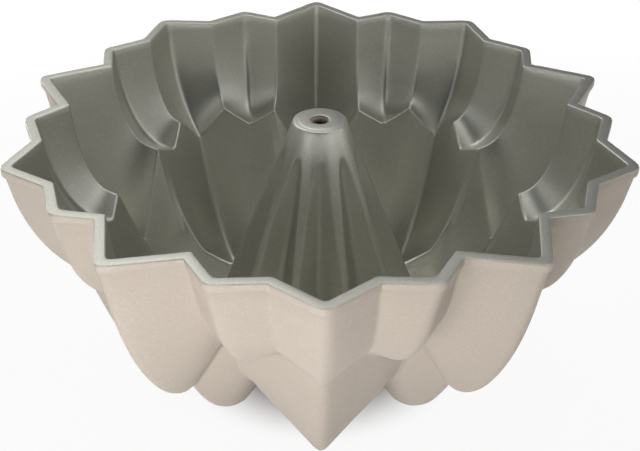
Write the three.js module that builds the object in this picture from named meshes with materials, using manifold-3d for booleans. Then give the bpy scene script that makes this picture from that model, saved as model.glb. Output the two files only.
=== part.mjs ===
// A cast fluted tube pan: a thin aluminium casting with five deep keels and five shallower petals round a
// central fluted tube, a non-stick lining over its inside and rim, and a sprayed coat over its outside.
// Millimetres, +Z up. The pan stands on the tips of its keels at z = 0, with one keel towards -Y.

import * as THREE from 'three';
import { mergeVertices } from 'three/addons/utils/BufferGeometryUtils.js';
import Module from 'manifold-3d';

const wasm = await Module();
wasm.setup();

// Layers of the wall, from the cake side outwards.
const LINING = 0.3;
const CAST_WALL = 2.0;
const COAT = 0.35;
const LAYER_GAP = 0.25;

// The flat lip round the rim.
const LIP_WIDTH = 4.3;
const LIP_HEIGHT = 3.0;

// A rounded corner of the wall reaches this share of the way from the plain offset to the sharp corner.
const CORNER_SHARPNESS = 0.4;

// Each keel's tip is ground flat by this much, so that the pan stands on five small pads.
const FOOT_FLAT = 1.2;

// The pattern repeats this many times round the axis, and each repeat is a pair of mirrored halves.
const REPEATS = 5;
const HALF = 180 / REPEATS;

// Radius of the rim's inner edge at each crease of a half, and the crease's angle from the keel.
const KEEL_RIM_RADIUS = 124;
const KEEL_NOTCH_RIM_RADIUS = 111.4;
const KEEL_NOTCH_ANGLE = 8.8;
const FIN_RIM_RADIUS = 116.6;
const FIN_ANGLE = 18.2;
const PETAL_NOTCH_RIM_RADIUS = 105.4;
const PETAL_NOTCH_ANGLE = 25.1;
const PETAL_RIM_RADIUS = 123.8;

// Where the upper flutes end on the cake side: radius and depth below the rim.
const KEEL_END_RADIUS = 99.5;
const KEEL_END_DEPTH = 52.2;
const KEEL_NOTCH_END_RADIUS = 95.8;
const KEEL_NOTCH_END_DEPTH = 37.8;
const FIN_END_RADIUS = 88.7;
const FIN_END_DEPTH = 45.7;
const PETAL_NOTCH_END_RADIUS = 87.5;
const PETAL_NOTCH_END_DEPTH = 39.6;
const PETAL_END_RADIUS = 85.8;
const PETAL_END_DEPTH = 77.6;

// The bottom on the cake side: the keels are deepest, the petals shallower, and a saddle lies between them.
const KEEL_DEPTH = 115.9;
const KEEL_BOTTOM_RADIUS = 62;
const SADDLE_DEPTH = 85.6;
const SADDLE_RADIUS = 61.6;
const SADDLE_ANGLE = 25;
const PETAL_DEPTH = 108;
const PETAL_BOTTOM_RADIUS = 56;

// The foot of the tube: radius at each crease.
const KEEL_FOOT_RADIUS = 39;
const FIN_FOOT_RADIUS = 49;
const FIN_FOOT_DEPTH = 96.7;
const PETAL_FOOT_RADIUS = 36;

// The top of the tube, level with the rim, with a round vent hole.
const FLUTE_TOP_DEPTH = 12.4;
const FLUTE_TOP_RADIUS = 15;
const TUBE_TOP_RADIUS = 11.1;
const VENT_RADIUS = 3.7;

// How finely the curved creases are divided above and below the ends of the flutes.
const UPPER_STEPS = 5;
const LOWER_STEPS = 5;

// A point in the first half: radius from the axis, angle from the keel, depth below the rim.
function point(radius, degrees, depth) {
  const angle = THREE.MathUtils.degToRad(degrees);
  return new THREE.Vector3(radius * Math.cos(angle), radius * Math.sin(angle), -depth);
}

function between(from, to, share) {
  return from.map((start, i) => start.clone().lerp(to[i], share));
}

// The creases of the upper wall: each runs nearly straight down from the rim and swings in to its flute's end.
// The two middle points of each are the handles of a cubic curve.
const keelUpper = [
  point(KEEL_RIM_RADIUS, 0, 0),
  point(KEEL_RIM_RADIUS - 0.8, 0, KEEL_END_DEPTH - 24.9),
  point(KEEL_END_RADIUS + 10.2, 0, KEEL_END_DEPTH - 6.9),
  point(KEEL_END_RADIUS, 0, KEEL_END_DEPTH),
];
const keelNotchUpper = [
  point(KEEL_NOTCH_RIM_RADIUS, KEEL_NOTCH_ANGLE, 0),
  point(KEEL_NOTCH_RIM_RADIUS - 0.7, KEEL_NOTCH_ANGLE, KEEL_NOTCH_END_DEPTH - 16.7),
  point(KEEL_NOTCH_END_RADIUS + 10.2, KEEL_NOTCH_ANGLE, KEEL_NOTCH_END_DEPTH),
  point(KEEL_NOTCH_END_RADIUS, KEEL_NOTCH_ANGLE - 1.4, KEEL_NOTCH_END_DEPTH),
];
const finUpper = [
  point(FIN_RIM_RADIUS, FIN_ANGLE, 0),
  point(FIN_RIM_RADIUS - 0.7, FIN_ANGLE, FIN_END_DEPTH - 20.9),
  point(FIN_END_RADIUS + 16.2, FIN_ANGLE - 1.4, FIN_END_DEPTH + 5.3),
  point(FIN_END_RADIUS, FIN_ANGLE - 4.1, FIN_END_DEPTH),
];
const petalNotchUpper = [
  point(PETAL_NOTCH_RIM_RADIUS, PETAL_NOTCH_ANGLE, 0),
  point(PETAL_NOTCH_RIM_RADIUS - 0.9, PETAL_NOTCH_ANGLE, PETAL_NOTCH_END_DEPTH - 22.2),
  point(PETAL_NOTCH_END_RADIUS + 14.1, PETAL_NOTCH_ANGLE - 0.5, PETAL_NOTCH_END_DEPTH),
  point(PETAL_NOTCH_END_RADIUS, PETAL_NOTCH_ANGLE - 2.9, PETAL_NOTCH_END_DEPTH),
];
const petalUpper = [
  point(PETAL_RIM_RADIUS, HALF, 0),
  point(PETAL_RIM_RADIUS - 2.9, HALF, PETAL_END_DEPTH - 36.7),
  point(PETAL_END_RADIUS + 17.1, HALF, PETAL_END_DEPTH + 3),
  point(PETAL_END_RADIUS, HALF, PETAL_END_DEPTH),
];
// The crease between the keel's pocket and the petal's pocket starts on the fin's flank.
const SPLIT_SHARE = 0.68;
const splitUpper = between(finUpper, petalNotchUpper, SPLIT_SHARE);

// The creases of the lower pockets: each leaves its flute's end steeply and turns level at the bottom.
const keelLower = [
  keelUpper[3],
  point(KEEL_END_RADIUS - 9.4, 0, KEEL_END_DEPTH + 31),
  point(KEEL_BOTTOM_RADIUS + 19.8, 0, KEEL_DEPTH - 1.8),
  point(KEEL_BOTTOM_RADIUS, 0, KEEL_DEPTH),
];
const splitLower = [
  splitUpper[3],
  point(SADDLE_RADIUS + 21.2, SADDLE_ANGLE - 4.4, SADDLE_DEPTH - 28.6),
  point(SADDLE_RADIUS + 13.9, SADDLE_ANGLE - 2, SADDLE_DEPTH - 8.7),
  point(SADDLE_RADIUS, SADDLE_ANGLE, SADDLE_DEPTH),
];
const petalLower = [
  petalUpper[3],
  point(PETAL_END_RADIUS - 5.3, HALF, PETAL_END_DEPTH + 9.9),
  point(PETAL_BOTTOM_RADIUS + 17.5, HALF, PETAL_DEPTH - 2),
  point(PETAL_BOTTOM_RADIUS, HALF, PETAL_DEPTH),
];

// A crease on the flank of a pocket starts at its own flute's end, leaves down the flank and then lies on the
// straight lines between the two creases that bound the pocket.
function flank(upper, from, to, share, run) {
  const lean = new THREE.Vector3(-0.31, -0.03, -1);
  const handles = between(from, to, share);
  return [upper[3], upper[3].clone().addScaledVector(lean, run), handles[2], handles[3]];
}
const keelNotchLower = flank(keelNotchUpper, keelLower, splitLower, 0.36, 41);
const finLower = flank(finUpper, keelLower, splitLower, 0.7, 27);
const petalNotchLower = flank(petalNotchUpper, splitLower, petalLower, 0.25, 22);

// The tube's foot: grooves at the keels and the petals, and a ridge at each fin.
const keelFoot = point(KEEL_FOOT_RADIUS, 0, KEEL_DEPTH - 0.6);
const finFoot = point(FIN_FOOT_RADIUS, FIN_ANGLE - 2, FIN_FOOT_DEPTH);
const petalFoot = point(PETAL_FOOT_RADIUS, HALF, PETAL_DEPTH - 3.5);
const keelNotchFoot = keelFoot.clone().lerp(finFoot, 0.52);
const splitFoot = point(FIN_FOOT_RADIUS + 1.6, FIN_ANGLE + 1.1, FIN_FOOT_DEPTH - 5.6);
const petalNotchFoot = point(FIN_FOOT_RADIUS - 1.9, FIN_ANGLE + 8.4, FIN_FOOT_DEPTH - 1.2);

// One crease from the rim to the tube's foot, then up the tube to the vent.
function column(upper, lower, foot, tubeShare) {
  const wall = new THREE.CubicBezierCurve3(...upper).getPoints(UPPER_STEPS);
  const pocket = new THREE.CubicBezierCurve3(...lower).getPoints(LOWER_STEPS).slice(1);
  const tube = [
    point(FLUTE_TOP_RADIUS, tubeShare * HALF, FLUTE_TOP_DEPTH),
    point(TUBE_TOP_RADIUS, tubeShare * HALF, 0),
    point(VENT_RADIUS, tubeShare * HALF, 0),
  ];
  return [...wall, ...pocket, foot, ...tube];
}
const half = [
  column(keelUpper, keelLower, keelFoot, 0),
  column(keelNotchUpper, keelNotchLower, keelNotchFoot, 0.25),
  column(finUpper, finLower, finFoot, 0.5),
  column(splitUpper, splitLower, splitFoot, 0.66),
  column(petalNotchUpper, petalNotchLower, petalNotchFoot, 0.82),
  column(petalUpper, petalLower, petalFoot, 1),
];

// Turns a point of the first half into the pan's frame: the keel of repeat k, mirrored for its other half.
function placed(source, repeat, mirrored) {
  const sign = mirrored ? -1 : 1;
  const turn = THREE.MathUtils.degToRad((repeat + (mirrored ? 1 : 0)) * 2 * HALF);
  const angle = turn + sign * Math.atan2(source.y, source.x);
  const radius = Math.hypot(source.x, source.y);
  return new THREE.Vector3(-radius * Math.sin(angle), -radius * Math.cos(angle), source.z);
}

// The cake side of the pan as closed rings of points, from the rim down, across the bottom and up to the vent.
function cakeSide() {
  const columns = [];
  for (let repeat = 0; repeat < REPEATS; repeat += 1) {
    half.slice(0, -1).forEach((c) => columns.push(c.map((p) => placed(p, repeat, false))));
    half.slice(1).reverse().forEach((c) => columns.push(c.map((p) => placed(p, repeat, true))));
  }
  return columns[0].map((_, row) => columns.map((c) => c[row]));
}
const rings = cakeSide();
const AROUND = rings[0].length;

// The normal of one facet of the cake side, away from the cake.
function facetNormal(row, col) {
  const next = (col + 1) % AROUND;
  const fall = rings[row + 1][next].clone().sub(rings[row][col]);
  const rise = rings[row + 1][col].clone().sub(rings[row][next]);
  return fall.cross(rise).normalize();
}
const facets = rings.slice(1).map((_, row) => rings[row].map((__, col) => facetNormal(row, col)));

// How far a point moves for each millimetre of wall: along the mean of its facets' normals, and further at a
// corner, towards where the facets' own offsets meet.
function outward(row, col) {
  const last = (col + AROUND - 1) % AROUND;
  const around = [row - 1, row].filter((r) => facets[r]).flatMap((r) => [facets[r][last], facets[r][col]]);
  const mean = around.reduce((sum, n) => sum.add(n), new THREE.Vector3()).normalize();
  const agreement = around.reduce((sum, n) => sum + n.dot(mean), 0) / around.length;
  return mean.multiplyScalar(1 + (1 / agreement - 1) * CORNER_SHARPNESS);
}
const directions = rings.map((ring, row) => ring.map((_, col) => outward(row, col)));

// The cake side moved outwards by a distance, below the rim.
function skin(distance) {
  const moved = rings.map((ring, row) => ring.map((p, col) => p.clone().addScaledVector(directions[row][col], distance)));
  return moved.slice(1);
}

// The rim's inner edge moved outwards in its own plane by a width, and lowered.
function rimRing(width, drop) {
  const edge = rings[0];
  const normals = edge.map((p, col) => {
    const along = edge[(col + 1) % AROUND].clone().sub(p).normalize();
    return new THREE.Vector3(-along.y, along.x, 0);
  });
  return edge.map((p, col) => {
    const before = normals[(col + AROUND - 1) % AROUND];
    const stretch = 2 / (1 + before.dot(normals[col]));
    const corner = 1 + (Math.sqrt(stretch) - 1) * CORNER_SHARPNESS;
    const out = before.clone().add(normals[col]).normalize().multiplyScalar(width * corner);
    return p.clone().add(out).setZ(-drop);
  });
}

// A closed body between two faces, each given as rings from the rim to the vent: the rings follow the near face
// in and the far face back out. A facet is split along the same diagonal on both faces, and the other way round
// in mirrored halves, so that layers lie evenly on each other.
function closedBody(near, far) {
  const section = [...near, ...far.reverse()];
  const perHalf = AROUND / (2 * REPEATS);
  const index = [];
  section.forEach((_, row) => {
    const nextRow = ((row + 1) % section.length) * AROUND;
    for (let col = 0; col < AROUND; col += 1) {
      const nextCol = (col + 1) % AROUND;
      const a = row * AROUND + col;
      const b = row * AROUND + nextCol;
      const c = nextRow + nextCol;
      const d = nextRow + col;
      const mirrored = Math.floor(col / perHalf) % 2 === 1;
      const returning = row >= near.length;
      if (mirrored === returning) index.push(a, c, b, a, d, c);
      else index.push(a, d, b, b, d, c);
    }
  });
  const geometry = new THREE.BufferGeometry();
  const positions = section.flat().flatMap((p) => [p.x, p.y, p.z]);
  geometry.setAttribute('position', new THREE.Float32BufferAttribute(positions, 3));
  geometry.setIndex(index);
  return geometry;
}

// Distances of each layer's faces from the cake side.
const castInside = LINING + LAYER_GAP;
const castOutside = castInside + CAST_WALL;
const coatInside = castOutside + LAYER_GAP;
const coatOutside = coatInside + COAT;

// The lining lies on the cake side and turns out over the lip.
function liningBody() {
  const near = [rimRing(LIP_WIDTH, 0), rimRing(0, 0), ...skin(0)];
  const far = [rimRing(LIP_WIDTH, LINING), rimRing(LINING, LINING), ...skin(LINING)];
  return closedBody(near, far);
}

// The casting, with its lip standing out past the wall.
const castLip = LIP_WIDTH - COAT - LAYER_GAP;
function castBody() {
  const near = [rimRing(castLip, castInside), rimRing(castInside, castInside), ...skin(castInside)];
  const far = [rimRing(castLip, LIP_HEIGHT), rimRing(castOutside, LIP_HEIGHT), ...skin(castOutside)];
  return closedBody(near, far);
}

// The coat covers the lip's edge, the outside of the wall and the hollow of the tube.
const coatLip = LIP_WIDTH - COAT;
const lipUnder = LIP_HEIGHT + LAYER_GAP;
function coatBody() {
  const near = [
    rimRing(coatLip, castInside), rimRing(coatLip, lipUnder), rimRing(coatInside, lipUnder), ...skin(coatInside),
  ];
  const far = [
    rimRing(LIP_WIDTH, castInside), rimRing(LIP_WIDTH, lipUnder + COAT), rimRing(coatOutside, lipUnder + COAT),
    ...skin(coatOutside),
  ];
  return closedBody(near, far);
}

// Height of the rim, so that the casting's keels reach the ground plane less their flats.
const castLowest = Math.min(...skin(castOutside).flat().map((p) => p.z));
const RIM_HEIGHT = -castLowest - FOOT_FLAT;

function toSolid(geometry) {
  const vertProperties = Float32Array.from(geometry.getAttribute('position').array);
  const triVerts = Uint32Array.from(geometry.getIndex().array);
  return new wasm.Manifold(new wasm.Mesh({ numProp: 3, vertProperties, triVerts }));
}

function toGeometry(solid) {
  const mesh = solid.getMesh();
  const geometry = new THREE.BufferGeometry();
  geometry.setAttribute('position', new THREE.Float32BufferAttribute(mesh.vertProperties, 3));
  geometry.setIndex(Array.from(mesh.triVerts));
  geometry.computeVertexNormals();
  return geometry;
}

// Everything below the ground plane, which is cut from the keels' tips.
const groundSize = 4 * KEEL_RIM_RADIUS;
function groundSolid() {
  const box = new THREE.BoxGeometry(groundSize, groundSize, groundSize).translate(0, 0, -groundSize / 2);
  box.deleteAttribute('normal');
  box.deleteAttribute('uv');
  return toSolid(mergeVertices(box));
}
const ground = groundSolid();

function standing(geometry) {
  return toGeometry(toSolid(geometry.translate(0, 0, RIM_HEIGHT)).subtract(ground));
}

function piece(name, geometry, color, roughness, metalness) {
  const material = new THREE.MeshStandardMaterial({ color, roughness, metalness });
  const mesh = new THREE.Mesh(geometry, material);
  mesh.name = name;
  return mesh;
}

const pan = new THREE.Group();
pan.add(piece('cast_body', standing(castBody()), 0xb9bbbd, 0.45, 1.0));
pan.add(piece('nonstick_lining', standing(liningBody()), 0x85867d, 0.4, 0.6));
pan.add(piece('exterior_coat', standing(coatBody()), 0xcfc0b2, 0.5, 0.5));

export default pan;
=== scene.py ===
"""The looks of a cast fluted tube pan: its lining, its casting and its outer coat, in a plain studio.

The pan repeats five times round its axis, and each repeat is a pair of mirrored halves. A half is bounded by
the keel, the deep flute that the pan stands on, and the petal, the shallower flute between two keels. The
pan's sizes are in millimetres until a mesh is made.
"""

import logging
import math
from dataclasses import dataclass, field, replace
from enum import Enum, IntEnum

import bpy
import numpy as np
from mathutils import Matrix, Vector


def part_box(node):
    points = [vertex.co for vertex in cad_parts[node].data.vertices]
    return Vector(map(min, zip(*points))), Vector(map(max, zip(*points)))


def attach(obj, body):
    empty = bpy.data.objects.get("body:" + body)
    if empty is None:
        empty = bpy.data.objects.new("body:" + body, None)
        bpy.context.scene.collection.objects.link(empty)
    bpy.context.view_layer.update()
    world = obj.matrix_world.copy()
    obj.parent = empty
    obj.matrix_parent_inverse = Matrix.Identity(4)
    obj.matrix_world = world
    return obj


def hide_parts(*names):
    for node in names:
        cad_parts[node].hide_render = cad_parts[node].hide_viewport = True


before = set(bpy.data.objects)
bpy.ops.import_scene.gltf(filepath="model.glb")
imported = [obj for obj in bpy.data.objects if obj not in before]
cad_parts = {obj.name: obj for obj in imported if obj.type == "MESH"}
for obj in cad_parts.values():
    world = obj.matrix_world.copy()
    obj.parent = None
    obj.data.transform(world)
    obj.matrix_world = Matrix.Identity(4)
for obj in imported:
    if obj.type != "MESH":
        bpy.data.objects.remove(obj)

LOG = logging.getLogger("fluted_tube_pan")
MM = 0.001
TINY = 1e-9
NOISE_MIDDLE = 0.5
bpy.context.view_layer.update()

# Sockets of a Mix node that is set to colours.
FIRST_COLOUR = 6
SECOND_COLOUR = 7
MIXED_COLOUR = 2

Array = np.ndarray
Colour = tuple[float, float, float]
Polar = tuple[float, float, float]


def unit(vectors: Array) -> Array:
    """Vectors divided by their own lengths."""
    return vectors / np.maximum(np.linalg.norm(vectors, axis=-1, keepdims=True), TINY)


def from_polar(points: Array) -> Array:
    """Points given as radius, degrees from the keel and depth below the rim, as x, y, z.

    Args:
        points: An array whose last axis holds radius, degrees and depth.

    Returns:
        An array of the same shape: x runs along the keel, y towards the petal, z up from the rim's plane.
    """
    radius, degrees, depth = np.moveaxis(np.asarray(points, float), -1, 0)
    angle = np.radians(degrees)
    return np.stack([radius * np.cos(angle), radius * np.sin(angle), -depth], -1)


def bezier(control: Array, t: Array) -> Array:
    """Points of cubic curves: the four handles weighted by the Bernstein polynomials of t.

    Args:
        control: Handles, shape (curves, 4, 3).
        t: Parameters, shape (curves, points).

    Returns:
        Points, shape (curves, points, 3).
    """
    rest = 1 - t
    weights = np.stack([rest**3, 3 * t * rest**2, 3 * t**2 * rest, t**3], -1)
    return weights @ control


def bezier_slope(control: Array, t: Array) -> Array:
    """Tangents of cubic curves: three times the handles' differences, weighted by quadratics of t.

    Args:
        control: Handles, shape (curves, 4, 3).
        t: Parameters, shape (curves, points).

    Returns:
        Tangents, shape (curves, points, 3).
    """
    rest = 1 - t
    weights = np.stack([rest**2, 2 * t * rest, t**2], -1)
    return weights @ (3 * np.diff(control, axis=1))


def corner(before: Array, middle: Array, after: Array, count: int) -> Array:
    """A rounded corner: the quadratic curve between two points that leaves and arrives towards a middle.

    Args:
        before: Where the rounding starts, shape (..., 3).
        middle: The sharp corner, same shape.
        after: Where the rounding ends, same shape.
        count: How many points the curve has, both ends included.

    Returns:
        Points, shape (..., count, 3).
    """
    t = np.linspace(0, 1, count)[:, None]
    before, middle, after = (point[..., None, :] for point in (before, middle, after))
    return (1 - t) ** 2 * before + 2 * t * (1 - t) * middle + t**2 * after


def run(start: Array, end: Array, count: int) -> Array:
    """Points strictly between two ends of a straight run, evenly spaced, shape (..., count, 3)."""
    t = (np.arange(count) + 1.0)[:, None] / (count + 1)
    return (1 - t) * start[..., None, :] + t * end[..., None, :]


class Crease(IntEnum):
    """The creases of a half, in their order from the keel to the petal."""

    KEEL = 0
    KEEL_NOTCH = 1
    FIN = 2
    SPLIT = 3
    PETAL_NOTCH = 4
    PETAL = 5


@dataclass(frozen=True)
class Rounding:
    """How far each edge of one face of the wall is rounded, back from the sharp edge along the facets.

    Each row of six values runs from the keel to the petal.
    """

    creases_above: tuple[float, ...]
    creases_below: tuple[float, ...]
    folds: tuple[float, ...]
    foot: float


@dataclass(frozen=True)
class Layout:
    """How finely the surfaces are sampled, with the tube's rows crowded towards its top."""

    upper: int = 19
    fold: int = 7
    lower: int = 18
    floor: int = 3
    foot: int = 6
    tube: int = 42
    tube_crowding: float = 1.9
    facet: int = 4
    edge: int = 5


@dataclass(frozen=True)
class Tube:
    """The central tube: a cone with straight V-grooves that run out in points just below its flat top."""

    cone_radius: float = 10.85
    cone_widening: float = 0.38
    groove_radius: float = 9.8
    groove_widening: float = 0.248
    groove_start: float = 11.0
    runout_rate: float = 0.75
    runout_slope: float = 1.5
    grooves: int = 10
    flank_angle: float = 50.5
    groove_rounding: float = 1.2
    blend: float = 0.4
    top_depth: float = 1.4

    def radius(self, angle: Array, depth: Array) -> Array:
        """Radius of the tube at an angle and a depth.

        The cone's radius grows in proportion to depth. A groove's flank is the straight line, at each depth,
        that leaves the groove's bottom at a fixed angle to the groove's own radius. The groove's bottom is
        straight, and rises to the cone where the groove starts by a height that falls off with the distance
        from there. The tube is the smooth minimum of cone and flank.

        Args:
            angle: Angle from the keel, in radians.
            depth: Depth below the rim.

        Returns:
            The radius, in the shape that the arguments broadcast to.
        """
        cone = self.cone_radius + self.cone_widening * depth
        into = depth - self.groove_start
        height = self.cone_radius - self.groove_radius
        height = height + (self.cone_widening - self.groove_widening) * self.groove_start
        runout = height / (1 + self.runout_rate * np.maximum(into, 0))
        runout = runout + self.runout_slope * np.maximum(-into, 0)
        groove = self.groove_radius + self.groove_widening * depth + runout
        pitch = 2 * math.pi / self.grooves
        aside = (angle + pitch / 2) % pitch - pitch / 2
        rounded = np.sqrt(aside**2 + (self.groove_rounding / groove) ** 2)
        lean = math.radians(self.flank_angle)
        flank = groove * math.sin(lean) / np.sin(lean - rounded)
        gap = np.maximum(self.blend - np.abs(cone - flank), 0) / self.blend
        return np.minimum(cone, flank) - gap**2 * self.blend / 4


@dataclass(frozen=True)
class Wall:
    """The fluted wall of the pan as a net of creases, with straight rulings from each crease to the next.

    A crease is a cubic curve from the rim to the end of its flute and another from there to the bottom. The
    points are radius, degrees from the keel, and depth below the rim.
    """

    repeats: int = 5
    thickness: float = 3.1
    facet_thickness: tuple[float, ...] = (3.1, 3.1, 2.4, 2.4, 3.1)
    keel_upper: tuple[Polar, ...] = ((124, 0, 0), (123.2, 0, 27.3), (109.7, 0, 45.3), (99.5, 0, 52.2))
    keel_notch_upper: tuple[Polar, ...] = (
        (111.4, 8.8, 0), (110.7, 8.8, 21.1), (106, 8.8, 37.8), (95.8, 7.4, 37.8))
    fin_upper: tuple[Polar, ...] = (
        (116.6, 18.2, 0), (115.9, 18.2, 24.8), (104.9, 16.8, 51), (88.7, 14.1, 45.7))
    petal_notch_upper: tuple[Polar, ...] = (
        (105.4, 25.1, 0), (104.5, 25.1, 17.4), (101.6, 24.6, 39.6), (87.5, 22.2, 39.6))
    petal_upper: tuple[Polar, ...] = (
        (123.8, 36, 0), (120.9, 36, 40.9), (102.9, 36, 80.6), (85.8, 36, 77.6))
    keel_lower: tuple[Polar, ...] = ((99.5, 0, 52.2), (90.1, 0, 83.2), (81.8, 0, 114.1), (62, 0, 115.9))
    split_lower: tuple[Polar, ...] = (
        (87.7, 19.6, 41.5), (82.8, 20.6, 57), (75.5, 23, 76.9), (61.6, 25, 85.6))
    petal_lower: tuple[Polar, ...] = ((85.8, 36, 77.6), (80.5, 36, 87.5), (73.5, 36, 106), (56, 36, 108))
    split_share: float = 0.68
    flank_shares: tuple[float, float, float] = (0.36, 0.7, 0.25)
    flank_runs: tuple[float, float, float] = (41, 27, 22)
    flank_lean: tuple[float, float, float] = (-0.31, -0.03, -1)
    fold_slack: float = 0.01
    rounding_limit: float = 0.45
    foot_angles: tuple[float, ...] = (0, 8.8, 16.2, 19.3, 26.6, 36)
    foot_depths: tuple[float, ...] = (115.3, 106.6, 96.7, 91.1, 95.5, 104.5)
    foot_rounding: float = 5.0
    foot_limit: float = 0.6
    tube: Tube = field(default_factory=Tube)
    layout: Layout = field(default_factory=Layout)

    @property
    def half_angle(self) -> float:
        """Angle from a keel to the next petal, in radians."""
        return math.pi / self.repeats

    def upper_handles(self) -> Array:
        """Handles of the six upper creases. The split lies on the fin's flank.

        Returns:
            Handles, shape (6, 4, 3), from the keel to the petal.
        """
        keel, notch = from_polar(self.keel_upper), from_polar(self.keel_notch_upper)
        fin = from_polar(self.fin_upper)
        petal_notch, petal = from_polar(self.petal_notch_upper), from_polar(self.petal_upper)
        split = fin + self.split_share * (petal_notch - fin)
        return np.stack([keel, notch, fin, split, petal_notch, petal])

    def lower_handles(self) -> Array:
        """Handles of the six lower creases.

        Keel, split and petal are creases of their own. The three between them start at their own flutes'
        ends, leave down the flank of a pocket, and end on straight lines between the creases that bound it.

        Returns:
            Handles, shape (6, 4, 3), from the keel to the petal.
        """
        upper = self.upper_handles()
        keel, petal = from_polar(self.keel_lower), from_polar(self.petal_lower)
        split = from_polar(self.split_lower)
        ends = upper[:, -1]
        split[0] = ends[Crease.SPLIT]
        lower = np.stack([keel, keel, keel, split, split, petal])
        flanks = (
            (Crease.KEEL_NOTCH, keel, split),
            (Crease.FIN, keel, split),
            (Crease.PETAL_NOTCH, split, petal),
        )
        for (crease, start, end), share, length in zip(flanks, self.flank_shares, self.flank_runs):
            lower[crease] = start + share * (end - start)
            lower[crease, 0] = ends[crease]
            lower[crease, 1] = ends[crease] + length * np.array(self.flank_lean)
        return lower

    def with_mirrors(self, creases: Array) -> Array:
        """The six creases with their mirrored neighbours past the keel and past the petal.

        Args:
            creases: Crease points, shape (6, ..., 3).

        Returns:
            Points, shape (8, ..., 3).
        """
        past_keel = creases[Crease.KEEL_NOTCH] * (1, -1, 1)
        cosine, sine = math.cos(2 * self.half_angle), math.sin(2 * self.half_angle)
        mirror = np.array([[cosine, sine, 0], [sine, -cosine, 0], [0, 0, 1]])
        past_petal = creases[Crease.PETAL_NOTCH] @ mirror
        return np.concatenate([past_keel[None], creases, past_petal[None]])

    def facet_normals(self, points: Array, tangents: Array) -> tuple[Array, Array]:
        """Normals, away from the cake, of the facets before and after each crease.

        Args:
            points: Points on the creases, shape (6, rows, 3).
            tangents: The creases' directions there, same shape.

        Returns:
            Normals on the keel's side and on the petal's side of each crease: the cross product of the
            crease's direction and the ruling that leaves it.
        """
        wide = self.with_mirrors(points)
        before = unit(np.cross(tangents, wide[1:-1] - wide[:-2]))
        after = unit(np.cross(tangents, wide[2:] - wide[1:-1]))
        return before, after

    def face_creases(self, above: Array, below: float, rounding: Rounding) -> Array:
        """The creases of one face of the wall, with the folds at the flutes' ends rounded.

        Each point moves to where its two facets, moved outwards by their own distances, meet. A fold's sharp
        corner is the point nearest to the four moved facets around it.

        Args:
            above: Distances of the five upper facets from the cake side.
            below: Distance of all the lower facets.
            rounding: The roundings of this face.

        Returns:
            Points, shape (6, rows, 3), from the rim to the bottom.
        """
        upper, lower = self.upper_handles(), self.lower_handles()
        folds = np.array(rounding.folds)
        upper_end = 1 - folds / (3 * np.linalg.norm(upper[:, 3] - upper[:, 2], axis=-1))
        lower_start = folds / (3 * np.linalg.norm(lower[:, 1] - lower[:, 0], axis=-1))
        share = np.linspace(0, 1, self.layout.upper)
        upper_t = upper_end[:, None] * share
        share = np.linspace(0, 1, self.layout.lower)
        lower_t = lower_start[:, None] + (1 - lower_start[:, None]) * share
        first = np.concatenate([above[:1], above])[:, None, None]
        second = np.concatenate([above, above[-1:]])[:, None, None]
        level = np.full_like(first, below)
        moved = []
        for handles, t, left, right in ((upper, upper_t, first, second), (lower, lower_t, level, level)):
            points = bezier(handles, t)
            before, after = self.facet_normals(points, bezier_slope(handles, t))
            agree = np.sum(before * after, -1, keepdims=True)
            shared = (left + right) / 2 * (before + after) / (1 + agree)
            skewed = (left - right) / 2 * (before - after) / np.maximum(1 - agree, TINY)
            moved.append(points + shared + skewed)
        ends = np.ones((len(Crease), 1))
        fold = bezier(upper, ends)
        over = self.facet_normals(fold, bezier_slope(upper, ends))
        under = self.facet_normals(fold, bezier_slope(lower, 0 * ends))
        normals = np.stack([*over, *under], -2)[:, 0]
        distances = np.stack([first, second, level, level], -2)[:, 0]
        square = np.einsum("cki,ckj->cij", normals, normals) + self.fold_slack * np.eye(3)
        shift = np.linalg.solve(square, np.sum(distances * normals, 1)[..., None])[..., 0]
        bend = corner(moved[0][:, -1], fold[:, 0] + shift, moved[1][:, 0], self.layout.fold)
        return np.concatenate([moved[0], bend[:, 1:-1], moved[1]], 1)

    def across(self, creases: Array, cuts: Array) -> Array:
        """Rows of points across a half: straight between creases, and rounded at each crease.

        Args:
            creases: Crease points, shape (6, rows, 3).
            cuts: How far each crease is rounded, shape (6, rows).

        Returns:
            Points, shape (rows, columns, 3), from the keel's middle to the petal's.
        """
        wide = self.with_mirrors(creases)
        here = wide[1:-1]
        edges = []
        for side in (wide[:-2], wide[2:]):
            length = np.linalg.norm(side - here, axis=-1)
            share = np.minimum(cuts, self.rounding_limit * length) / length
            edges.append(here + (side - here) * share[..., None])
        rounded = corner(edges[0], here, edges[1], self.layout.edge)
        middle = self.layout.edge // 2
        columns = [rounded[Crease.KEEL][:, middle:]]
        for before, after in zip(rounded[:-1], rounded[1:]):
            columns.append(run(before[:, -1], after[:, 0], self.layout.facet))
            columns.append(after)
        columns[-1] = rounded[Crease.PETAL][:, : middle + 1]
        return np.concatenate(columns, 1)

    def face(self, above: Array, below: float, rounding: Rounding) -> Array:
        """One face of the wall, for one half, from the rim to the bottom.

        Args:
            above: Distances of the five upper facets from the cake side.
            below: Distance of all the lower facets.
            rounding: The roundings of this face.

        Returns:
            Points, shape (rows, columns, 3).
        """
        creases = self.face_creases(above, below, rounding)
        start = np.array(rounding.creases_above)
        end = np.array(rounding.creases_below)
        rows = creases.shape[1]
        fade = np.clip((np.arange(rows) - self.layout.upper) / self.layout.fold, 0, 1)
        return self.across(creases, start[:, None] + fade * (end - start)[:, None])

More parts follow.
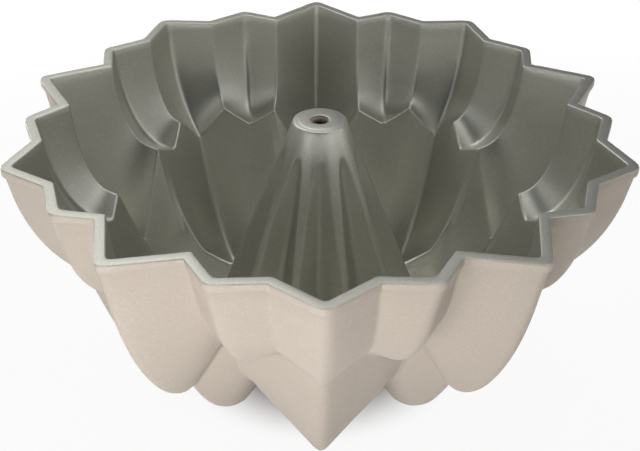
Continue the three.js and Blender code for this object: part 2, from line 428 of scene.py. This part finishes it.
    def foot_line(self) -> tuple[Array, Array]:
        """The line where the tube leaves the floor.

        Returns:
            The angle and the depth of the line in each column.
        """
        angles, depths = np.radians(self.foot_angles), np.array(self.foot_depths)
        points = np.stack([self.tube.radius(angles, depths), np.degrees(angles), depths], -1)
        cuts = np.full((len(Crease), 1), self.foot_rounding)
        row = self.across(from_polar(points)[:, None], cuts)[0]
        return np.arctan2(row[:, 1], row[:, 0]), -row[:, 2]

    def tube_rows(self, offset: float, rounding: Rounding, bottom: Array) -> Array:
        """The floor from the wall's last row to the tube's foot, and the tube up to its cone's top.

        Args:
            offset: Distance from the cake side, towards the axis and downwards.
            rounding: The roundings of this face.
            bottom: The wall's last row, shape (columns, 3).

        Returns:
            Points, shape (rows, columns, 3).
        """
        angle, depth = self.foot_line()

        def on_tube(at_depth: Array) -> Array:
            """Points of this face of the tube at a depth in each column."""
            radius = self.tube.radius(angle, at_depth) - offset
            return np.stack([radius * np.cos(angle), radius * np.sin(angle), -at_depth], -1)

        foot = on_tube(depth + offset)
        reach = np.linalg.norm(bottom - foot, axis=-1, keepdims=True)
        start = foot + (bottom - foot) * np.minimum(rounding.foot / reach, self.foot_limit)
        base = depth - rounding.foot
        floor = np.moveaxis(run(bottom, start, self.layout.floor), 1, 0)
        bend = np.moveaxis(corner(start, foot, on_tube(base), self.layout.foot), 1, 0)
        share = 1 - np.linspace(1, 0, self.layout.tube)[1:, None] ** self.layout.tube_crowding
        top = self.tube.top_depth + offset
        rise = on_tube(base + share * (top - base))
        return np.concatenate([floor, bend, rise])

    def ring_rows(self, profile: Array) -> Array:
        """Circles round the axis at a profile's radii and depths, in this half's columns.

        Args:
            profile: Radius and depth of each row, shape (rows, 2).

        Returns:
            Points, shape (rows, columns, 3).
        """
        angle, _ = self.foot_line()
        radius, depth = np.moveaxis(profile, -1, 0)[..., None]
        return np.stack([radius * np.cos(angle), radius * np.sin(angle), -depth + 0 * angle], -1)

    def whole(self, half: Array) -> Array:
        """A half turned and mirrored round the axis into the whole pan, with the first keel at -Y.

        Args:
            half: Points, shape (rows, columns, 3).

        Returns:
            Points, shape (rows, all columns, 3), without a repeated first column.
        """
        mirrored = (half * (1, -1, 1))[:, :0:-1]
        pair = np.concatenate([half[:, :-1], self.turned(mirrored, 1)], 1)
        return np.concatenate([self.framed(self.turned(pair, step)) for step in range(self.repeats)], 1)

    def turned(self, points: Array, steps: int) -> Array:
        """Points turned round the axis, from the keel towards the petal.

        Args:
            points: Points, shape (..., 3).
            steps: By how many repeats of the pattern.

        Returns:
            Points of the same shape.
        """
        angle = 2 * self.half_angle * steps
        cosine, sine = math.cos(angle), math.sin(angle)
        return points @ np.array([[cosine, sine, 0], [-sine, cosine, 0], [0, 0, 1]])

    def framed(self, points: Array) -> Array:
        """Points from the half's own axes to the pan's: the keel along -Y and the petal towards -X."""
        return np.stack([-points[..., 1], -points[..., 0], points[..., 2]], -1)


@dataclass
class Pan:
    """The pan's three layers, from one pair of faces: the cake side and the outside.

    A layer lies between two shares of the way from the cake side to the outside, so layers never cross. Over
    the lip, a layer's outline is a row of points: a share of the way to the lip's edge, and a depth.
    """

    rim_height: float
    wall: Wall = field(default_factory=Wall)
    inside: Rounding = Rounding(
        creases_above=(2.2, 0.9, 2.2, 0.4, 0.9, 2.2),
        creases_below=(2.5, 0.4, 0.4, 1.3, 0.4, 3.0),
        folds=(1.3, 1.3, 1.3, 1.3, 1.3, 1.3),
        foot=7.0,
    )
    outside: Rounding = Rounding(
        creases_above=(4.5, 1.2, 3.2, 0.5, 0.8, 4.6),
        creases_below=(4.5, 0.5, 0.5, 4.0, 0.5, 6.0),
        folds=(4.6, 2.6, 3.2, 3.2, 3.2, 4.6),
        foot=9.0,
    )
    lip_creases: tuple[float, ...] = (4.0, 0.7, 2.8, 0.5, 0.6, 3.6)
    lining_share: float = 0.1
    cast_shares: tuple[float, float] = (0.17, 0.83)
    coat_share: float = 0.9
    lip_reach: float = 1.36
    lip_height: float = 3.2
    cast_lip_inset: float = 0.2
    vent_radius: float = 3.8
    vent_sleeve: float = 0.2
    vent_sleeve_gap: float = 0.02
    vent_sleeve_ends: tuple[float, float] = (3.0, 0.9)
    top_inset: float = 2.9
    top_far_depths: tuple[float, float] = (3.9, 3.3)
    wall_rows_under_lip: int = 4
    cake_side: Array = field(init=False)
    far_side: Array = field(init=False)
    lip_edge: Array = field(init=False)

    def __post_init__(self) -> None:
        """Samples both faces and the lip's edge once, for every layer."""
        wall = self.wall
        facets = np.array(wall.facet_thickness)
        faces = []
        for above, below, rounding in (
            (0 * facets, 0.0, self.inside),
            (facets, wall.thickness, self.outside),
        ):
            rows = wall.face(above, below, rounding)
            tube = wall.tube_rows(below, rounding, rows[-1])
            faces.append(np.concatenate([rows, tube]))
        self.cake_side, self.far_side = faces
        self.far_side[..., 2] = np.maximum(self.far_side[..., 2], -self.rim_height)
        lip = replace(self.outside, creases_above=self.lip_creases)
        self.lip_edge = wall.face(0 * facets + wall.thickness, wall.thickness, lip)[0]

    def top_profile(self) -> tuple[Array, Array]:
        """The tube's flat top, with a shallow step and the edge of the vent.

        Returns:
            Radius and depth on the cake side and on the far side, with as many points.
        """
        edge, vent = self.wall.tube.cone_radius, self.vent_radius
        near = np.array([
            (edge + 0.34, 1.0), (edge + 0.2, 0.74), (edge - 0.1, 0.58), (edge - 0.7, 0.52),
            (edge - 1.9, 0.48), (edge - 2.1, 0.45), (edge - 2.4, 0.35), (edge - 2.6, 0.32),
            (vent + 1.0, 0.3), (vent + 0.14, 0.3), (vent + 0.04, 0.34), (vent, 0.46),
        ])
        radii = np.linspace(edge - self.top_inset, vent, len(near))
        return near, np.column_stack([radii, np.linspace(*self.top_far_depths, len(near))])

    def layer(self, share: float) -> Array:
        """Rows of one face of a layer, from below the rim to the vent.

        Args:
            share: How far the face lies on the way from the cake side to the far side.

        Returns:
            Points of one half, shape (rows, columns, 3).
        """
        body = (1 - share) * self.cake_side + share * self.far_side
        near, far = self.top_profile()
        top = self.wall.ring_rows((1 - share) * near + share * far)
        return np.concatenate([body, top])

    def rim(self, profile: Array) -> Array:
        """Rows round the rim.

        Args:
            profile: Each row's share of the way from the cake side to the lip's edge, and its depth.

        Returns:
            Points of one half, shape (rows, columns, 3).
        """
        near, far = self.cake_side[0], self.lip_edge
        share, depth = profile[:, 0, None, None], profile[:, 1, None]
        rows = (1 - share) * near + share * far
        rows[..., 2] = -depth
        return rows

    def lining(self) -> tuple[Array, Array]:
        """The lining, which turns out over the top of the lip.

        Returns:
            Near and far rows of one half, each an outline over the lip and then the wall.
        """
        lip, share = self.lip_reach, self.lining_share
        near = np.array([
            (lip - 0.03, 0.22), (lip - 0.04, 0.12), (lip - 0.09, 0.03), (lip - 0.18, 0),
            (0.2, 0), (0.09, 0.04), (0.025, 0.16), (0, 0.45),
        ])
        far = np.array([
            (lip - 0.06, 0.25), (lip - 0.1, 0.26), (lip - 0.15, 0.26), (lip - 0.25, 0.25),
            (0.36, 0.25), (0.25, 0.32), (0.15, 0.5), (share, 0.9),
        ])
        return self.joined(near, self.layer(0)[1:]), self.joined(far, self.layer(share)[1:])

    def casting(self) -> tuple[Array, Array]:
        """The casting, with its lip.

        Returns:
            Near and far rows of one half, each an outline over the lip and then the wall.
        """
        low, high = self.cast_shares
        lip = self.lip_reach - self.cast_lip_inset
        near = np.array([
            (lip, 1.5), (lip - 0.1, 0.8), (lip - 0.24, 0.65), (0.6, 0.65), (0.3, 0.9), (low, 1.4),
        ])
        far = np.array([(lip, 2.0), (lip, 2.3), (lip, 2.6), (lip, 2.9), (high, 3.2), (high, 3.6)])
        return self.joined(near, self.layer(low)[1:]), self.joined(far, self.layer(high)[1:])

    def coat(self) -> tuple[Array, Array]:
        """The outer coat, from the lip's edge to a short sleeve in the vent.

        Returns:
            Near and far rows of one half, each an outline under the lip, the wall and the sleeve.
        """
        lip, share, height = self.lip_reach, self.coat_share, self.lip_height
        near = np.array([
            (lip - 0.1, 0.32), (lip - 0.1, 0.6), (lip - 0.1, height - 0.3), (lip - 0.16, height + 0.1),
            (share, height + 0.5), (share, height + 0.9),
        ])
        far = np.array([
            (lip - 0.02, 0.28), (lip, 0.45), (lip, height - 0.2), (lip - 0.05, height + 0.25),
            (lip - 0.18, height + 0.6), (1.02, height + 1.0),
        ])
        vent = self.vent_radius
        rows = []
        for rim, at, radius in (
            (near, share, vent - self.vent_sleeve_gap),
            (far, 1.0, vent - self.vent_sleeve),
        ):
            bore = self.wall.ring_rows(np.array([(radius, depth) for depth in self.vent_sleeve_ends]))
            rows.append(np.concatenate([self.rim(rim), self.layer(at)[self.wall_rows_under_lip:], bore]))
        return rows[0], rows[1]

    def joined(self, rim: Array, rows: Array) -> Array:
        """Rim rows from a profile followed by wall rows."""
        return np.concatenate([self.rim(rim), rows])

    def piece(
        self, name: str, node: str, faces: tuple[Array, Array], material: bpy.types.Material
    ) -> bpy.types.Object:
        """One layer as a closed mesh that stands for its node.

        The near rows run in to the vent and the far rows back out, and the last row joins the first.

        Args:
            name: The piece's name.
            node: The node that it stands for.
            faces: Near and far rows of one half.
            material: The layer's finish.

        Returns:
            The new object.
        """
        near, far = (self.wall.whole(rows) for rows in faces)
        loop = np.concatenate([near, far[::-1]])
        loop[..., 2] += self.rim_height
        rows, columns = loop.shape[:2]
        index = np.arange(rows * columns).reshape(rows, columns)
        below, beside = np.roll(index, -1, 0), np.roll(index, -1, 1)
        quads = np.stack([index, below, np.roll(below, -1, 1), beside], -1).reshape(-1, 4)
        mesh = bpy.data.meshes.new(name)
        mesh.from_pydata((loop.reshape(-1, 3) * MM).tolist(), [], quads.tolist())
        mesh.polygons.foreach_set("use_smooth", np.ones(len(quads), bool))
        mesh.materials.append(material)
        mesh.validate()
        obj = bpy.data.objects.new(name, mesh)
        bpy.context.scene.collection.objects.link(obj)
        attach(obj, "root")
        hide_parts(node)
        LOG.info("%s: %d faces", name, len(quads))
        return obj


class Value:
    """A number that varies over a surface: a node's socket, with arithmetic that adds Math nodes."""

    def __init__(self, graph: "Graph", socket: bpy.types.NodeSocket) -> None:
        """Keeps the graph that new nodes go into and the socket that holds the number."""
        self.graph = graph
        self.socket = socket

    def maths(self, operation: str, first: "Value | float", second: "Value | float") -> "Value":
        """A Math node on two numbers."""
        return self.graph.node("ShaderNodeMath", {"operation": operation}, {0: first, 1: second}).out(0)

    def __add__(self, other: "Value | float") -> "Value":
        """Sum."""
        return self.maths("ADD", self, other)

    __radd__ = __add__

    def __sub__(self, other: "Value | float") -> "Value":
        """Difference."""
        return self.maths("SUBTRACT", self, other)

    def __rsub__(self, other: float) -> "Value":
        """Difference from a plain number."""
        return self.maths("SUBTRACT", other, self)

    def __mul__(self, other: "Value | float") -> "Value":
        """Product."""
        return self.maths("MULTIPLY", self, other)

    __rmul__ = __mul__

    def __pow__(self, other: float) -> "Value":
        """Power."""
        return self.maths("POWER", self, other)


class Node:
    """One shader node, whose outputs come as values."""

    def __init__(self, graph: "Graph", node: bpy.types.ShaderNode) -> None:
        """Keeps the graph and the node."""
        self.graph = graph
        self.node = node

    def out(self, key: int | str) -> Value:
        """The output of that name or number."""
        return Value(self.graph, self.node.outputs[key])


class Graph:
    """The node tree of one material or of the world."""

    def __init__(self, owner: bpy.types.Material | bpy.types.World) -> None:
        """Switches the owner to nodes and empties its tree.

        Args:
            owner: What the nodes belong to.
        """
        owner.use_nodes = True
        self.tree = owner.node_tree
        self.tree.nodes.clear()

    def node(self, kind: str, settings: dict | None = None, inputs: dict | None = None) -> Node:
        """Adds a node.

        Args:
            kind: The node's type.
            settings: Its own properties, set first.
            inputs: Values or links of its sockets, by name or number.

        Returns:
            The new node.
        """
        node = self.tree.nodes.new(kind)
        for key, value in (settings or {}).items():
            setattr(node, key, value)
        for key, value in (inputs or {}).items():
            if isinstance(value, Value):
                self.tree.links.new(value.socket, node.inputs[key])
            else:
                node.inputs[key].default_value = value
        return Node(self, node)

    def blend(self, share: Value, first: Colour | Value, second: Colour | Value) -> Value:
        """A colour between two, by a share that varies over the surface.

        Args:
            share: Nothing for the first colour, one for the second.
            first: A colour or a link.
            second: A colour or a link.

        Returns:
            The blended colour.
        """
        ends = (end if isinstance(end, Value) else (*end, 1) for end in (first, second))
        inputs = dict(zip(("Factor", FIRST_COLOUR, SECOND_COLOUR), (share, *ends)))
        return self.node("ShaderNodeMix", {"data_type": "RGBA"}, inputs).out(MIXED_COLOUR)

    def ramp(self, value: Value, start: float, full: float, smooth: bool = True) -> Value:
        """A share that rises from nothing at one value to one at another, and stays there.

        Args:
            value: The value that is looked at.
            start: Where the share is nothing.
            full: Where the share is one.
            smooth: Whether it starts and ends gently.

        Returns:
            The share.
        """
        settings = {"interpolation_type": "SMOOTHSTEP" if smooth else "LINEAR"}
        span = {"Value": value, "From Min": start, "From Max": full}
        return self.node("ShaderNodeMapRange", settings, span).out(0)

    def seen_rays(self) -> Value:
        """One for rays from the camera and for rays that gloss or glass sends on, and nothing for others."""
        path = self.node("ShaderNodeLightPath")
        return path.out("Is Camera Ray") + path.out("Is Glossy Ray") + path.out("Is Transmission Ray")


@dataclass(frozen=True)
class MetallicFilm:
    """A sprayed film with fine metal flakes: a satin base, a fine grain and scattered brighter flecks."""

    name: str
    colour: Colour
    flake: Colour
    metallic: float
    roughness: float
    roughness_spread: float
    grain: float
    fleck: float
    bump: float
    mottle: float
    specular: float = 0.5
    # Painted light: within this radius of the axis the film turns a plain tone, lighter by the tone factor,
    # which lifts the shaded vent; it fades back over the fade span.
    vent_painted_light: float = 0.0
    vent_painted_light_fade: float = 5.0
    vent_painted_light_tone: float = 1.4
    grain_detail: float = 3.0
    grain_share: float = 0.9
    mottle_scale: float = 18.0
    mottle_detail: float = 2.0
    fleck_share: float = 0.4
    fleck_rarity: float = 8.0
    bump_depth: float = 0.2

    def material(self) -> bpy.types.Material:
        """The film: noise grains tint it, cells scatter flecks, and a fine bump breaks the gloss.

        Returns:
            The new material.
        """
        material = bpy.data.materials.new(self.name)
        graph = Graph(material)
        place = graph.node("ShaderNodeTexCoord").out("Object")
        fine = {"Vector": place, "Scale": self.grain, "Detail": self.grain_detail}
        grain = graph.node("ShaderNodeTexNoise", None, fine).out(0)
        wide = {"Vector": place, "Scale": self.mottle_scale, "Detail": self.mottle_detail}
        broad = graph.node("ShaderNodeTexNoise", None, wide).out(0)
        cells = graph.node("ShaderNodeTexVoronoi", None, {"Vector": place, "Scale": self.fleck}).out("Color")
        pick = graph.node("ShaderNodeSeparateColor", None, {0: cells}).out(0)
        flecks = self.fleck_share * pick**self.fleck_rarity
        share = self.grain_share * grain + self.mottle * broad + flecks
        tint = graph.blend(share, self.colour, self.flake)
        # Painted light: a plain, lighter colour on the sleeve in the vent, near the axis.
        if self.vent_painted_light:
            tint = self.with_vent_painted_light(graph, place, tint)
        rough = self.roughness + self.roughness_spread * (grain - NOISE_MIDDLE)
        height = {"Height": grain, "Strength": self.bump, "Distance": self.bump_depth * MM}
        relief = graph.node("ShaderNodeBump", None, height).out(0)
        shader = graph.node("ShaderNodeBsdfPrincipled", None, {
            "Base Color": tint,
            "Roughness": rough,
            "Metallic": self.metallic,
            "Normal": relief,
            "Specular IOR Level": self.specular,
        })
        graph.node("ShaderNodeOutputMaterial", None, {"Surface": shader.out(0)})
        return material

    def with_vent_painted_light(self, graph: Graph, place: Value, tint: Value) -> Value:
        """The film's colour, with painted light near the pan's axis: a plain, lighter tone that lifts the
        shaded sleeve in the vent.

        Args:
            graph: The film's node tree.
            place: Places in the object's own axes.
            tint: The colour outside the painted light.

        Returns:
            The colour everywhere.
        """
        flat = graph.node("ShaderNodeVectorMath", {"operation": "MULTIPLY"}, {0: place, 1: (1, 1, 0)}).out(0)
        radius = graph.node("ShaderNodeVectorMath", {"operation": "LENGTH"}, {0: flat}).out("Value")
        outside = graph.ramp(radius, self.vent_painted_light * MM, (self.vent_painted_light + self.vent_painted_light_fade) * MM, smooth=False)
        # Painted light: the film's own colour made lighter and plain, for the shaded vent.
        painted_shading_tone = tuple(self.vent_painted_light_tone * part for part in self.colour)
        return graph.blend(outside, painted_shading_tone, tint)


class Finish(Enum):
    """The finishes of the pan's layers."""

    LINING = MetallicFilm(
        name="lining_film",
        colour=(0.525, 0.525, 0.463),
        flake=(0.685, 0.685, 0.622),
        metallic=0.9,
        roughness=0.42,
        roughness_spread=0.1,
        grain=1500,
        fleck=1300,
        bump=0.1,
        mottle=0.06,
    )
    COAT = MetallicFilm(
        name="coat_film",
        colour=(0.396, 0.336, 0.28),
        flake=(0.472, 0.419, 0.361),
        metallic=0.06,
        roughness=0.5,
        roughness_spread=0.1,
        grain=1500,
        fleck=1300,
        bump=0.08,
        mottle=0.08,
        specular=0.25,
        # Painted light: the coat is lighter and plain within 5 mm of the axis, in the vent.
        vent_painted_light=5.0,
    )
    CAST = MetallicFilm(
        name="cast_metal",
        colour=(0.55, 0.55, 0.56),
        flake=(0.65, 0.65, 0.66),
        metallic=1.0,
        roughness=0.5,
        roughness_spread=0.15,
        grain=900,
        fleck=700,
        bump=0.3,
        mottle=0.1,
    )


def away(azimuth: float, elevation: float) -> Array:
    """The direction, from the pan outwards, of a lamp or camera at two angles in degrees, 0 at the front."""
    turn, rise = math.radians(azimuth), math.radians(elevation)
    return np.array([math.sin(turn) * math.cos(rise), -math.cos(turn) * math.cos(rise), math.sin(rise)])


def matrix_of(place: Array, right: Array, up: Array, forward: Array) -> Matrix:
    """A matrix with the given axes; a lamp or camera looks along its own -Z.

    Args:
        place: Where its origin lies.
        right: Its X axis.
        up: Its Y axis.
        forward: The direction that it looks along.

    Returns:
        A 4 by 4 matrix.
    """
    grid = np.eye(4)
    grid[:3, :4] = np.column_stack([right, up, -np.asarray(forward), place])
    return Matrix(grid.tolist())


@dataclass(frozen=True)
class SoftBox:
    """A soft rectangular lamp that points at the pan, placed by angles in degrees and lengths in metres."""

    name: str
    azimuth: float
    elevation: float
    distance: float
    width: float
    height: float
    watts: float

    def light(self, target: Array) -> bpy.types.Object:
        """Adds the lamp, with its top up.

        Args:
            target: The point that it faces, in metres.

        Returns:
            The new lamp.
        """
        back = away(self.azimuth, self.elevation)
        right = unit(np.cross(-back, (0, 0, 1)))
        lamp = bpy.data.lights.new(self.name, "AREA")
        lamp.shape = "RECTANGLE"
        lamp.size = self.width
        lamp.size_y = self.height
        lamp.energy = self.watts
        obj = bpy.data.objects.new(self.name, lamp)
        obj.matrix_world = matrix_of(target + back * self.distance, right, np.cross(right, -back), -back)
        bpy.context.scene.collection.objects.link(obj)
        return obj


@dataclass
class Studio:
    """Floor, world, lamps and the camera at the photograph's view.

    The camera's and the floor's lengths are in millimetres, apart from the floor's own size, in metres.
    Angles are in degrees, and lamps give their azimuth, elevation, distance, width, height and watts in turn.
    """

    rim_height: float
    sensor: float = 36.0
    lens: float = 61.39
    near_clip: float = 10.0
    distance: float = 450.5
    elevation: float = 27.589
    azimuth: float = -1.019
    pitch: float = 33.166
    pan: float = 1.074
    roll: float = 0.448
    floor_size: float = 40.0
    paper: Colour = (0.8, 0.8, 0.8)
    # Painted shadow: the paper's colour darkens to this tone right under the pan, and fades back to paper
    # further out.
    painted_shadow_under_pan: Colour = (0.08, 0.07, 0.06)
    floor_shadow: float = 0.08
    glow_start: float = 34.0
    glow_full: float = 68.0
    painted_shadow_fade_start: float = 25.0
    painted_shadow_fade_end: float = 50.0
    world_level: float = 0.02
    backdrop_top: float = 3.0
    backdrop_fade: float = 8.0
    lamps: tuple[SoftBox, ...] = (
        SoftBox("front_strip", -20, 2, 0.42, 0.3, 0.1, 1.0),
        SoftBox("collar_strip", 0, 10.3, 0.55, 0.3, 0.04, 0.15),
        SoftBox("left_collar_strip", -40, 10.3, 0.55, 0.3, 0.04, 0.07),
        SoftBox("right_collar_strip", 42, 10.3, 0.55, 0.3, 0.04, 0.04),
        SoftBox("low_left_box", -40, 8, 1.4, 1.0, 0.6, 1.6),
        SoftBox("low_right_box", 40, 14, 1.4, 1.0, 0.6, 1.5),
        SoftBox("right_side_box", 80, 8, 1.4, 0.8, 0.8, 0.9),
        SoftBox("right_box", 90, 25, 1.4, 0.8, 0.8, 1.4),
        SoftBox("right_top_box", 90, 65, 1.4, 0.8, 0.8, 2.4),
        SoftBox("right_high_box", 60, 45, 1.4, 0.8, 0.8, 0.9),
        SoftBox("left_high_box", -60, 45, 1.4, 0.8, 0.8, 1.4),
        SoftBox("back_left_box", -120, 25, 1.4, 0.8, 0.8, 1.8),
        SoftBox("rear_box", -150, 46, 1.4, 0.8, 0.8, 3.4),
        SoftBox("rear_top_box", 180, 60, 1.4, 0.8, 0.8, 2.2),
        SoftBox("back_strip", 178, 0, 0.55, 0.4, 0.08, 1.2),
        SoftBox("back_right_strip", 150, 0, 0.55, 0.3, 0.08, 0.6),
        SoftBox("back_left_strip", -135, 0, 0.55, 0.4, 0.08, 1.2),
    )

    def camera(self) -> bpy.types.Object:
        """Adds the camera: placed by angles and distance from the rim's centre, then turned.

        Returns:
            The new camera.
        """
        place = (self.distance * away(self.azimuth, self.elevation) + (0, 0, self.rim_height)) * MM
        pitch, pan, roll = (math.radians(angle) for angle in (self.pitch, self.pan, self.roll))
        ahead = math.cos(pitch)
        forward = np.array([ahead * math.sin(pan), ahead * math.cos(pan), -math.sin(pitch)])
        level = np.array([math.cos(pan), -math.sin(pan), 0])
        rise = np.cross(level, forward)
        right = math.cos(roll) * level + math.sin(roll) * rise
        up = -math.sin(roll) * level + math.cos(roll) * rise
        data = bpy.data.cameras.new("view")
        data.sensor_fit = "HORIZONTAL"
        data.sensor_width = self.sensor
        data.lens = self.lens
        data.clip_start = self.near_clip * MM
        obj = bpy.data.objects.new("view", data)
        obj.matrix_world = matrix_of(place, right, up, forward)
        bpy.context.scene.collection.objects.link(obj)
        bpy.context.scene.camera = obj
        return obj

    def floor(self) -> bpy.types.Object:
        """Adds the pale floor: white as it is seen, with a trace of the pan's shadow, and a painted shadow, a
        near-black paper tone, right under the pan.

        Returns:
            The new floor.
        """
        grid = np.array([(-1, -1, 0), (1, -1, 0), (1, 1, 0), (-1, 1, 0)]) * self.floor_size / 2
        mesh = bpy.data.meshes.new("floor")
        mesh.from_pydata(grid.tolist(), [], [(0, 1, 2, 3)])
        mesh.materials.append(self.floor_material())
        obj = bpy.data.objects.new("floor", mesh)
        bpy.context.scene.collection.objects.link(obj)
        return obj

    def floor_material(self) -> bpy.types.Material:
        """Paper that glows white to the camera and to gloss, but not right under the pan, where its colour
        darkens to a painted shadow.

        Returns:
            The new material.
        """
        material = bpy.data.materials.new("floor_white")
        graph = Graph(material)
        place = graph.node("ShaderNodeTexCoord").out("Object")
        distance = graph.node("ShaderNodeVectorMath", {"operation": "LENGTH"}, {0: place}).out("Value")
        # Painted shadow: the paper darkens to a near-black tone under the pan.
        out_of_painted_shadow = graph.ramp(distance, self.painted_shadow_fade_start * MM, self.painted_shadow_fade_end * MM)
        painted_shading_tone = graph.blend(out_of_painted_shadow, self.painted_shadow_under_pan, self.paper)
        paper = graph.node("ShaderNodeBsdfDiffuse", None, {"Color": painted_shading_tone}).out(0)
        white = graph.node("ShaderNodeEmission", None, {"Strength": 1.0}).out(0)
        glow = graph.ramp(distance, self.glow_start * MM, self.glow_full * MM)
        share = (1 - self.floor_shadow) * graph.seen_rays() * glow
        mixed = graph.node("ShaderNodeMixShader", None, {0: share, 1: paper, 2: white}).out(0)
        graph.node("ShaderNodeOutputMaterial", None, {"Surface": mixed})
        return material

    def world(self) -> None:
        """Sets the world: a white backdrop round the horizon that fades upwards, and an even dim light."""
        world = bpy.data.worlds.new("studio")
        bpy.context.scene.world = world
        graph = Graph(world)
        place = graph.node("ShaderNodeTexCoord").out("Generated")
        rise = graph.node("ShaderNodeSeparateXYZ", None, {0: place}).out("Z")
        top = math.sin(math.radians(self.backdrop_top))
        end = math.sin(math.radians(self.backdrop_top + self.backdrop_fade))
        backdrop = graph.ramp(rise, end, top)
        strength = self.world_level + (1 - self.world_level) * graph.seen_rays() * backdrop
        sky = graph.node("ShaderNodeBackground", None, {"Color": (1, 1, 1, 1), "Strength": strength})
        graph.node("ShaderNodeOutputWorld", None, {"Surface": sky.out(0)})

    def build(self) -> None:
        """Adds everything and sets the plain view transform."""
        target = np.array([0, 0, self.rim_height * MM / 2])
        self.camera()
        self.floor()
        self.world()
        for lamp in self.lamps:
            lamp.light(target)
        bpy.context.scene.view_settings.view_transform = "Standard"
        LOG.info("studio: %d lamps", len(self.lamps))


def main() -> None:
    """Builds the pan's layers and the studio."""
    logging.basicConfig(level=logging.INFO)
    rim_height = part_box("nonstick_lining")[1].z / MM
    pan = Pan(rim_height)
    pan.piece("lining", "nonstick_lining", pan.lining(), Finish.LINING.value.material())
    pan.piece("casting", "cast_body", pan.casting(), Finish.CAST.value.material())
    pan.piece("outer_coat", "exterior_coat", pan.coat(), Finish.COAT.value.material())
    Studio(rim_height).build()


if __name__ == "__main__":
    main()
